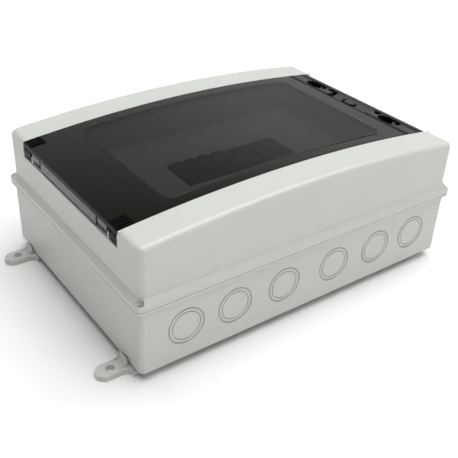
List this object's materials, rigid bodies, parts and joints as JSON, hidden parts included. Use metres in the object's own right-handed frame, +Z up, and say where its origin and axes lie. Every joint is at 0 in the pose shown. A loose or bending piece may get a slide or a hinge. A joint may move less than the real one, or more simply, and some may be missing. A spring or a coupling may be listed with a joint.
{
  "type": "dc combiner box",
  "caption": "Moulded wall enclosure lying on its back, with a crowned cover and a smoked hinged door over rail-mounted fuses, a breaker and a surge arrester.",
  "frame": {"origin": "on the resting surface, under the middle of the box", "axes": "+Z up out of the box's back, +X along the long side from the hinge end to the lock end, -Y towards the side with the entries"},
  "size_m": [0.467, 0.29, 0.162],
  "materials": {
    "grey_shell": "satin",
    "smoked_door": "glossy, transparent",
    "seal_rubber": "matte",
    "zinc_steel": "zinc plated",
    "black_polyamide": "fine moulded grain",
    "fuse_ceramic": "glazed",
    "bus_copper": "bright copper",
    "earth_brass": "machined"
  },
  "bodies": {
    "root": {"back_box": "grey_shell", "wall_lug_front_left": "grey_shell", "wall_lug_rear_left": "grey_shell", "wall_lug_front_right": "grey_shell", "wall_lug_rear_right": "grey_shell", "cover_gasket": "seal_rubber", "lug_screw_front_left": "zinc_steel", "lug_screw_rear_left": "zinc_steel", "lug_screw_front_right": "zinc_steel", "lug_screw_rear_right": "zinc_steel", "din_rail": "zinc_steel", "rail_screw_left": "zinc_steel", "rail_screw_right": "zinc_steel", "earth_bar_screw_left": "zinc_steel", "earth_bar_screw_right": "zinc_steel", "rail_support_left": "black_polyamide", "rail_support_right": "black_polyamide", "end_stop_left": "black_polyamide", "end_stop_right": "black_polyamide", "earth_bar_stand_left": "black_polyamide", "earth_bar_stand_right": "black_polyamide", "breaker_body": "black_polyamide", "surge_arrester_base": "black_polyamide", "fuse_base_1": "black_polyamide", "fuse_base_2": "black_polyamide", "fuse_base_3": "black_polyamide", "fuse_base_4": "black_polyamide", "positive_busbar": "bus_copper", "negative_busbar": "bus_copper", "earth_bar": "earth_brass"},
    "cover": {"front_cover": "grey_shell", "door_gasket": "seal_rubber", "hinge_pin_front": "zinc_steel", "hinge_pin_rear": "zinc_steel", "cover_screw_front_left": "grey_shell", "cover_screw_rear_left": "grey_shell", "cover_screw_front_right": "grey_shell", "cover_screw_rear_right": "grey_shell"},
    "door": {"door": "smoked_door"},
    "closing_screw_front": {"closing_screw_front": "black_polyamide"},
    "closing_screw_rear": {"closing_screw_rear": "black_polyamide"},
    "breaker_toggle": {"breaker_toggle": "black_polyamide"},
    "surge_cartridge_1": {"surge_cartridge_1": "black_polyamide"},
    "surge_cartridge_2": {"surge_cartridge_2": "black_polyamide"},
    "fuse_drawer_1": {"fuse_drawer_1": "black_polyamide", "fuse_link_1": "fuse_ceramic"},
    "fuse_drawer_2": {"fuse_drawer_2": "black_polyamide", "fuse_link_2": "fuse_ceramic"},
    "fuse_drawer_3": {"fuse_drawer_3": "black_polyamide", "fuse_link_3": "fuse_ceramic"},
    "fuse_drawer_4": {"fuse_drawer_4": "black_polyamide", "fuse_link_4": "fuse_ceramic"}
  },
  "joints": [
    {"name": "cover_lift", "type": "slide", "parent": "root", "child": "cover", "axis": [0, 0, 1], "range_m": [0, 0.09]},
    {"name": "door_hinge", "type": "hinge", "parent": "cover", "child": "door", "pos_m": [-0.1955, 0, 0.1365], "axis": [0, -1, 0], "range_deg": [0, 100]},
    {"name": "closing_screw_front_turn", "type": "hinge", "parent": "door", "child": "closing_screw_front", "pos_m": [0.1765, -0.063, 0.14], "axis": [0, 0, 1], "range_deg": [0, 90]},
    {"name": "closing_screw_rear_turn", "type": "hinge", "parent": "door", "child": "closing_screw_rear", "pos_m": [0.1765, 0.063, 0.14], "axis": [0, 0, 1], "range_deg": [0, 90]},
    {"name": "fuse_drawer_1_swing", "type": "hinge", "parent": "root", "child": "fuse_drawer_1", "pos_m": [-0.063, -0.0195, 0.1165], "axis": [1, 0, 0], "range_deg": [0, 62]},
    {"name": "fuse_drawer_2_swing", "type": "hinge", "parent": "root", "child": "fuse_drawer_2", "pos_m": [-0.045, -0.0195, 0.1165], "axis": [1, 0, 0], "range_deg": [0, 62]},
    {"name": "fuse_drawer_3_swing", "type": "hinge", "parent": "root", "child": "fuse_drawer_3", "pos_m": [-0.027, -0.0195, 0.1165], "axis": [1, 0, 0], "range_deg": [0, 62]},
    {"name": "fuse_drawer_4_swing", "type": "hinge", "parent": "root", "child": "fuse_drawer_4", "pos_m": [-0.009, -0.0195, 0.1165], "axis": [1, 0, 0], "range_deg": [0, 62]},
    {"name": "breaker_toggle_swing", "type": "hinge", "parent": "root", "child": "breaker_toggle", "pos_m": [0.018, 0, 0.1145], "axis": [1, 0, 0], "range_deg": [0, 76]},
    {"name": "surge_cartridge_1_pull", "type": "slide", "parent": "root", "child": "surge_cartridge_1", "axis": [0, 0, 1], "range_m": [0, 0.03]},
    {"name": "surge_cartridge_2_pull", "type": "slide", "parent": "root", "child": "surge_cartridge_2", "axis": [0, 0, 1], "range_m": [0, 0.03]}
  ]
}
